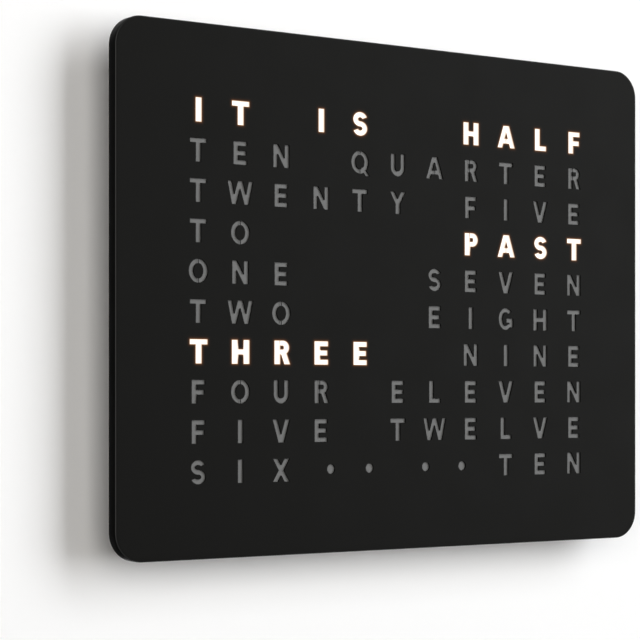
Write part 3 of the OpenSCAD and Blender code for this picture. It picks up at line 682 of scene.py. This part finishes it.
def group_brushed():
    """Fine parallel scratches along one axis."""
    group, enter, leave = new_group(
        "brushed",
        [("Direction", "NodeSocketVector", (1, 1, 1)), ("Depth", "NodeSocketFloat", 0.1)],
        [("Normal", "NodeSocketVector"), ("Streaks", "NodeSocketFloat")])
    place = node(group, "ShaderNodeTexCoord").outputs["Object"]
    stretch = node(group, "ShaderNodeVectorMath", operation="MULTIPLY")
    group.links.new(place, stretch.inputs[0])
    group.links.new(enter.outputs["Direction"], stretch.inputs[1])
    lines = node(group, "ShaderNodeTexNoise", noise_dimensions="3D")
    lines.inputs["Scale"].default_value = 1
    lines.inputs["Detail"].default_value = 4
    group.links.new(stretch.outputs[0], lines.inputs["Vector"])
    bump = node(group, "ShaderNodeBump")
    bump.inputs["Distance"].default_value = SCRATCH_RELIEF
    group.links.new(enter.outputs["Depth"], bump.inputs["Strength"])
    group.links.new(lines.outputs["Fac"], bump.inputs["Height"])
    group.links.new(bump.outputs["Normal"], leave.inputs["Normal"])
    group.links.new(lines.outputs["Fac"], leave.inputs["Streaks"])
    return group


def group_blend():
    """Two colours and two roughnesses mixed by one value."""
    group, enter, leave = new_group(
        "tone",
        [("Value", "NodeSocketFloat", 0.5),
         ("Low Color", "NodeSocketColor", (0, 0, 0, 1)), ("High Color", "NodeSocketColor", (1, 1, 1, 1)),
         ("Low Roughness", "NodeSocketFloat", 0.4), ("High Roughness", "NodeSocketFloat", 0.5)],
        [("Color", "NodeSocketColor"), ("Roughness", "NodeSocketFloat")])
    spread = node(group, "ShaderNodeMapRange")
    spread.inputs["From Min"].default_value = 0.3
    spread.inputs["From Max"].default_value = 0.7
    group.links.new(enter.outputs["Value"], spread.inputs["Value"])
    mix = node(group, "ShaderNodeMix", data_type="RGBA")
    group.links.new(spread.outputs["Result"], mix.inputs["Factor"])
    group.links.new(enter.outputs["Low Color"], mix.inputs[COLOR_A])
    group.links.new(enter.outputs["High Color"], mix.inputs[COLOR_B])
    group.links.new(mix.outputs[COLOR_OUT], leave.inputs["Color"])
    rough = node(group, "ShaderNodeMix", data_type="FLOAT")
    group.links.new(spread.outputs["Result"], rough.inputs["Factor"])
    group.links.new(enter.outputs["Low Roughness"], rough.inputs[NUMBER_A])
    group.links.new(enter.outputs["High Roughness"], rough.inputs[NUMBER_B])
    group.links.new(rough.outputs[NUMBER_OUT], leave.inputs["Roughness"])
    return group


def group_cell_run():
    """1 inside a run of lit cells and 0 outside, with a soft edge."""
    group, enter, leave = new_group(
        "cell_run",
        [("Middle X", "NodeSocketFloat", 0), ("Middle Z", "NodeSocketFloat", 0),
         ("Half Width", "NodeSocketFloat", 0.1), ("Half Height", "NodeSocketFloat", 0.1)],
        [("Mask", "NodeSocketFloat")])
    split = node(group, "ShaderNodeSeparateXYZ")
    group.links.new(node(group, "ShaderNodeTexCoord").outputs["Object"], split.inputs[0])
    sides = []
    for axis, middle, half in (("X", "Middle X", "Half Width"), ("Z", "Middle Z", "Half Height")):
        off = math_node(group, "SUBTRACT", split.outputs[axis], enter.outputs[middle])
        room = math_node(group, "SUBTRACT", enter.outputs[half], math_node(group, "ABSOLUTE", off))
        sides.append(math_node(group, "DIVIDE", room, RUN_EDGE, clamp=True))
    group.links.new(math_node(group, "MULTIPLY", *sides), leave.inputs["Mask"])
    return group


GRAIN = group_grain()
BRUSHED = group_brushed()
TONE = group_blend()
CELL_RUN = group_cell_run()


# --- Materials --------------------------------------------------------------------

def new_material(name):
    material = bpy.data.materials.new(name)
    material.use_nodes = True
    tree = material.node_tree
    return material, tree, tree.nodes["Principled BSDF"]


def place_group(tree, group, **values):
    made = node(tree, "ShaderNodeGroup", node_tree=group)
    for label, value in values.items():
        made.inputs[label.replace("_", " ")].default_value = value
    return made


def finish_with(tree, shader, value, low, high, rough_low, rough_high):
    """Lets a mottled value vary colour and roughness a little."""
    tone = place_group(tree, TONE, Low_Color=(*low, 1), High_Color=(*high, 1),
                       Low_Roughness=rough_low, High_Roughness=rough_high)
    tree.links.new(value, tone.inputs["Value"])
    tree.links.new(tone.outputs["Color"], shader.inputs["Base Color"])
    tree.links.new(tone.outputs["Roughness"], shader.inputs["Roughness"])


def grained(name, low, high, rough_low, rough_high, size, depth, specular=0.5, metallic=0.0):
    """A surface with an even fine texture: moulded plastic, paint, rubber, blackened steel."""
    material, tree, shader = new_material(name)
    grain = place_group(tree, GRAIN, Size=size, Depth=depth)
    finish_with(tree, shader, grain.outputs["Mottle"], low, high, rough_low, rough_high)
    tree.links.new(grain.outputs["Normal"], shader.inputs["Normal"])
    shader.inputs["Specular IOR Level"].default_value = specular
    shader.inputs["Metallic"].default_value = metallic
    return material, tree, shader


def scratched(name, low, high, rough_low, rough_high, direction, depth):
    """Bare metal with fine scratches along one axis."""
    material, tree, shader = new_material(name)
    brushed = place_group(tree, BRUSHED, Direction=direction, Depth=depth)
    finish_with(tree, shader, brushed.outputs["Streaks"], low, high, rough_low, rough_high)
    tree.links.new(brushed.outputs["Normal"], shader.inputs["Normal"])
    shader.inputs["Metallic"].default_value = 1.0
    return material


PAINT_SHINE = 0.031
PAINT_TINT = (1.0, 0.985, 0.93, 1)
EDGE_SHINE = 0.4
EDGE_ROUGHNESS = 0.35


def plate_paint():
    """Near-black powder coat, brighter on its rounded edge, with a glow painted round the lit letters."""
    material, tree, shader = grained(
        "plate_paint", (0.0030, 0.0030, 0.0028), (0.0037, 0.0037, 0.0034), 0.36, 0.43,
        0.0006, 0.25)
    shader.inputs["Specular Tint"].default_value = PAINT_TINT
    edge = node(tree, "ShaderNodeAttribute", attribute_type="GEOMETRY", attribute_name="edge")
    coat = math_node(tree, "MULTIPLY", edge.outputs["Fac"], EDGE_SHINE)
    tree.links.new(coat, shader.inputs["Coat Weight"])
    shader.inputs["Coat Roughness"].default_value = EDGE_ROUGHNESS
    shader.inputs["Specular IOR Level"].default_value = PAINT_SHINE
    # Painted glow: the paint emits light that fades with the distance from the lit letters, brightest on
    # the walls of their openings
    distance = node(tree, "ShaderNodeAttribute", attribute_type="GEOMETRY", attribute_name="lit_distance")
    share = math_node(tree, "DIVIDE", distance.outputs["Fac"], PAINTED_GLOW_REACH, clamp=True)
    ramp = node(tree, "ShaderNodeValToRGB")
    elements = ramp.color_ramp.elements
    while len(elements) < len(PAINTED_GLOW_STOPS):
        elements.new(0.5)
    for element, (position, color) in zip(elements, PAINTED_GLOW_STOPS):
        element.position = position
        element.color = (*color, 1)
    tree.links.new(share, ramp.inputs["Fac"])
    tree.links.new(ramp.outputs["Color"], shader.inputs["Emission Color"])
    shader.inputs["Emission Strength"].default_value = 1
    return material


def lit_runs():
    """First and last column of each lit word, with its row."""
    runs = []
    for row, text in LIT.items():
        start = 0
        for word in text.split(BLANK):
            if word:
                runs.append((row, start, start + len(word) - 1))
            start += len(word) + 1
    return runs


LIT_COLOR = (1.0, 0.93, 0.86, 1)
LIT_STRENGTH = 1.25


def opal_sheet():
    """Opal acrylic that is bright where the cells behind it are lit."""
    material, tree, shader = grained(
        "opal_sheet", (0.125, 0.125, 0.123), (0.145, 0.145, 0.142), 0.50, 0.60, 0.002, 0.05, specular=0.2)
    total = None
    for row, first, last in lit_runs():
        x0, z = cell_middle(first, row)
        x1, _ = cell_middle(last, row)
        mask = place_group(tree, CELL_RUN, Middle_X=(x0 + x1) / 2 * MM, Middle_Z=z * MM + PLATE_Z,
                           Half_Width=((x1 - x0) + PITCH_X) / 2 * MM, Half_Height=PITCH_Z / 2 * MM)
        total = mask.outputs[0] if total is None else math_node(tree, "MAXIMUM", total, mask.outputs[0])
    color = node(tree, "ShaderNodeMix", data_type="RGBA")
    color.inputs[COLOR_A].default_value = (0, 0, 0, 1)
    color.inputs[COLOR_B].default_value = LIT_COLOR
    tree.links.new(total, color.inputs["Factor"])
    tree.links.new(color.outputs[COLOR_OUT], shader.inputs["Emission Color"])
    shader.inputs["Emission Strength"].default_value = LIT_STRENGTH
    return material


def grey(value):
    return (value, value, value * 1.02)


# Darkest and lightest colour, least and greatest roughness, size and depth of the grain
GRAINED = {
    "black_moulding": (grey(0.015), grey(0.019), 0.50, 0.54, 0.0005, 0.5),
    "carrier_sheet": ((0.60, 0.58, 0.52), (0.68, 0.66, 0.60), 0.55, 0.65, 0.001, 0.1),
    "strip_film": ((0.76, 0.75, 0.70), (0.82, 0.81, 0.76), 0.40, 0.50, 0.001, 0.1),
    "led_body": ((0.80, 0.78, 0.66), (0.86, 0.84, 0.72), 0.25, 0.35, 0.001, 0.05),
    "circuit_board": ((0.012, 0.075, 0.030), (0.018, 0.100, 0.042), 0.28, 0.36, 0.001, 0.04),
    "chip_black": (grey(0.016), grey(0.022), 0.50, 0.60, 0.0004, 0.3),
    "header_nylon": ((0.74, 0.71, 0.63), (0.80, 0.78, 0.70), 0.42, 0.52, 0.0008, 0.15),
    "wire_red": ((0.34, 0.02, 0.02), (0.42, 0.03, 0.03), 0.40, 0.50, 0.001, 0.1),
    "wire_blue": ((0.03, 0.09, 0.28), (0.04, 0.12, 0.34), 0.40, 0.50, 0.001, 0.1),
    "wire_yellow": ((0.58, 0.40, 0.04), (0.66, 0.46, 0.06), 0.40, 0.50, 0.001, 0.1),
    "button_plastic": (grey(0.030), grey(0.038), 0.32, 0.40, 0.0005, 0.15),
    "plunger_white": ((0.74, 0.74, 0.72), (0.80, 0.80, 0.78), 0.40, 0.50, 0.001, 0.1),
}
# Darkest and lightest colour, least and greatest roughness, scale of the scratches along X, Y
# and Z, and their depth
SCRATCHED = {
    "zinc_steel": ((0.52, 0.53, 0.54), (0.66, 0.67, 0.68), 0.28, 0.42, (60, 60, 2200), 0.15),
    "can_metal": ((0.62, 0.62, 0.63), (0.72, 0.72, 0.73), 0.22, 0.34, (1800, 60, 60), 0.1),
    "tinned_wire": ((0.66, 0.66, 0.67), (0.76, 0.76, 0.77), 0.20, 0.32, (900, 900, 60), 0.1),
    "contact_brass": ((0.60, 0.42, 0.16), (0.72, 0.53, 0.24), 0.20, 0.32, (60, 60, 2200), 0.1),
}


def black_screw():
    return grained("black_screw", grey(0.020), grey(0.040), 0.30, 0.42, 0.0004, 0.15, metallic=0.6)[0]


def pad_rubber():
    return grained("pad_rubber", grey(0.010), grey(0.014), 0.65, 0.80, 0.0006, 0.5, specular=0.3)[0]


materials = {"plate_paint": plate_paint(), "opal_sheet": opal_sheet(),
             "black_screw": black_screw(), "pad_rubber": pad_rubber()}
for finish, values in GRAINED.items():
    materials[finish] = grained(finish, *values)[0]
for finish, values in SCRATCHED.items():
    materials[finish] = scratched(finish, *values)


def paint_nodes():
    """Gives every construction node the material of its slot."""
    for part in frame["record"]["subparts"]:
        piece = nodes[part["node"]]
        for slot in piece.material_slots:
            slot.material = materials[part["material_slot"]]


# --- Stage ------------------------------------------------------------------------

WALL_COLOR = (0.97, 0.965, 0.96)
FLOOR_COLOR = (0.96, 0.96, 0.96)
STAGE_HALF = 4.0
WALL_GAP = 0.0001
FLOOR_DROP = 0.62
WALL_FADE = 1.1
FLOOR_FADE = 0.2
FADE_END = 2.4


def stage_material(name, color, fade_start):
    """Matt surface seen from its front only, which fades to plain white away from the clock."""
    material, tree, shader = new_material(name)
    shader.inputs["Base Color"].default_value = (*color, 1)
    shader.inputs["Roughness"].default_value = 1
    shader.inputs["Specular IOR Level"].default_value = 0
    reach = node(tree, "ShaderNodeVectorMath", operation="LENGTH")
    tree.links.new(node(tree, "ShaderNodeTexCoord").outputs["Object"], reach.inputs[0])
    past = math_node(tree, "SUBTRACT", reach.outputs["Value"], fade_start)
    fade = math_node(tree, "DIVIDE", past, FADE_END - fade_start, clamp=True)
    white = node(tree, "ShaderNodeEmission")
    faded = node(tree, "ShaderNodeMixShader")
    tree.links.new(fade, faded.inputs[0])
    tree.links.new(shader.outputs[0], faded.inputs[1])
    tree.links.new(white.outputs[0], faded.inputs[2])
    clear = node(tree, "ShaderNodeBsdfTransparent")
    mix = node(tree, "ShaderNodeMixShader")
    tree.links.new(node(tree, "ShaderNodeNewGeometry").outputs["Backfacing"], mix.inputs[0])
    tree.links.new(faded.outputs[0], mix.inputs[1])
    tree.links.new(clear.outputs[0], mix.inputs[2])
    tree.links.new(mix.outputs[0], tree.nodes["Material Output"].inputs["Surface"])
    return material


def stage_plane(name, center, turn, color, fade_start):
    bm = bmesh.new()
    bmesh.ops.create_grid(bm, x_segments=1, y_segments=1, size=STAGE_HALF,
                          matrix=Matrix.Translation(center) @ turn)
    mesh = bpy.data.meshes.new(name)
    bm.to_mesh(mesh)
    bm.free()
    mesh.materials.append(stage_material(name, color, fade_start))
    plane = bpy.data.objects.new(name, mesh)
    bpy.context.scene.collection.objects.link(plane)
    plane.visible_diffuse = False
    plane.visible_glossy = False
    plane.visible_shadow = False


def build_stage():
    """The pale wall that the clock hangs on, which carries its shadow, and a pale floor."""
    upright = Matrix.Rotation(math.radians(90), 4, "X")
    on_wall = Vector((0, Y_WALL + WALL_GAP, PLATE_Z))
    stage_plane("wall", on_wall, upright, WALL_COLOR, WALL_FADE)
    on_floor = Vector((0, Y_WALL - STAGE_HALF, plate_low.z - FLOOR_DROP))
    stage_plane("floor", on_floor, Matrix.Identity(4), FLOOR_COLOR, FLOOR_FADE)


# --- Light and camera ----------------------------------------------------------------

LAMP_DISTANCE = 5.0
AMBIENT = 0.02

SENSOR = 36
CAMERA_YAW = math.radians(34.58)
CAMERA_LENS = 118.10
CAMERA_SHIFT = 0.115
CAMERA_DISTANCE = 1.4617
AIM_X = -0.0678
AIM_Z = PLATE_Z - 0.0688


def build_camera():
    data = bpy.data.cameras.new("camera")
    data.sensor_width = SENSOR
    data.lens = CAMERA_LENS
    data.shift_y = CAMERA_SHIFT
    camera = bpy.data.objects.new("camera", data)
    camera.location = (AIM_X - CAMERA_DISTANCE * math.sin(CAMERA_YAW),
                       Y_FRONT - CAMERA_DISTANCE * math.cos(CAMERA_YAW), AIM_Z)
    camera.rotation_euler = (math.radians(90), 0, -CAMERA_YAW)
    bpy.context.scene.collection.objects.link(camera)
    bpy.context.scene.camera = camera


def softbox(name, slopes_x, slopes_z, color, power):
    """Large lamp parallel to the wall, between two slopes sideways and two upwards."""
    data = bpy.data.lights.new(name, "AREA")
    data.shape = "RECTANGLE"
    data.size = (slopes_x[1] - slopes_x[0]) * LAMP_DISTANCE
    data.size_y = (slopes_z[1] - slopes_z[0]) * LAMP_DISTANCE
    data.color = color
    data.energy = power
    lamp = bpy.data.objects.new(name, data)
    lamp.location = (sum(slopes_x) / 2 * LAMP_DISTANCE, Y_WALL - LAMP_DISTANCE,
                     PLATE_Z + sum(slopes_z) / 2 * LAMP_DISTANCE)
    lamp.rotation_euler = (math.radians(90), 0, 0)
    lamp.visible_camera = False
    bpy.context.scene.collection.objects.link(lamp)


def rear_lamp(name, direction, distance, side, power):
    """Lamp behind the clock, which lights its back and the side of the plate."""
    data = bpy.data.lights.new(name, "AREA")
    data.size = side
    data.energy = power
    lamp = bpy.data.objects.new(name, data)
    offset = Vector(direction).normalized() * distance
    lamp.location = Vector((0, 0, PLATE_Z)) + offset
    lamp.rotation_euler = offset.to_track_quat("Z", "Y").to_euler()
    lamp.visible_camera = False
    bpy.context.scene.collection.objects.link(lamp)


def build_world():
    """White to the camera and in gloss that faces the room, and nearly dark for all that it lights."""
    world = bpy.data.worlds.new("studio")
    world.use_nodes = True
    bpy.context.scene.world = world
    tree = world.node_tree
    background = tree.nodes["Background"]
    background.inputs["Color"].default_value = (1, 1, 1, 1)
    path = node(tree, "ShaderNodeLightPath")
    split = node(tree, "ShaderNodeSeparateXYZ")
    tree.links.new(node(tree, "ShaderNodeTexCoord").outputs["Generated"], split.inputs[0])
    ahead = math_node(tree, "SUBTRACT", 0.5, split.outputs["Y"], clamp=True)
    mirrored_room = math_node(tree, "MULTIPLY", path.outputs["Is Glossy Ray"], ahead)
    seen = math_node(tree, "MAXIMUM", path.outputs["Is Camera Ray"], path.outputs["Is Transmission Ray"])
    seen = math_node(tree, "MAXIMUM", seen, mirrored_room)
    level = node(tree, "ShaderNodeMix", data_type="FLOAT")
    level.inputs[NUMBER_A].default_value = AMBIENT
    level.inputs[NUMBER_B].default_value = 1.0
    tree.links.new(seen, level.inputs["Factor"])
    tree.links.new(level.outputs[NUMBER_OUT], background.inputs["Strength"])


def build_light():
    build_world()
    softbox("key_light", slopes_x=(0.39, 1.76), slopes_z=(-0.21, 1.22),
            color=(0.956, 0.976, 1.0), power=772)
    softbox("fill_light", slopes_x=(-2.60, 0.03), slopes_z=(-0.30, 0.72),
            color=(1.0, 0.975, 0.94), power=402)
    rear_lamp("rear_light", direction=(0.18, 1.0, 0.15), distance=2.6, side=3.6, power=46)
    rear_lamp("rear_fill", direction=(0.9, 1.0, -0.5), distance=2.6, side=2.0, power=24)


# --- Assembly -----------------------------------------------------------------------

build_camera()
build_stage()
build_light()
paint_nodes()
letter_shapes = openings()
sheet_corners, sheet_triangles, filling_triangles = cut_sheet(letter_shapes)
build_front_plate(letter_shapes, sheet_corners, sheet_triangles)
build_letter_filling(sheet_corners, filling_triangles)
build_case_screws()

bpy.context.scene.view_settings.view_transform = "Standard"
bpy.context.view_layer.update()
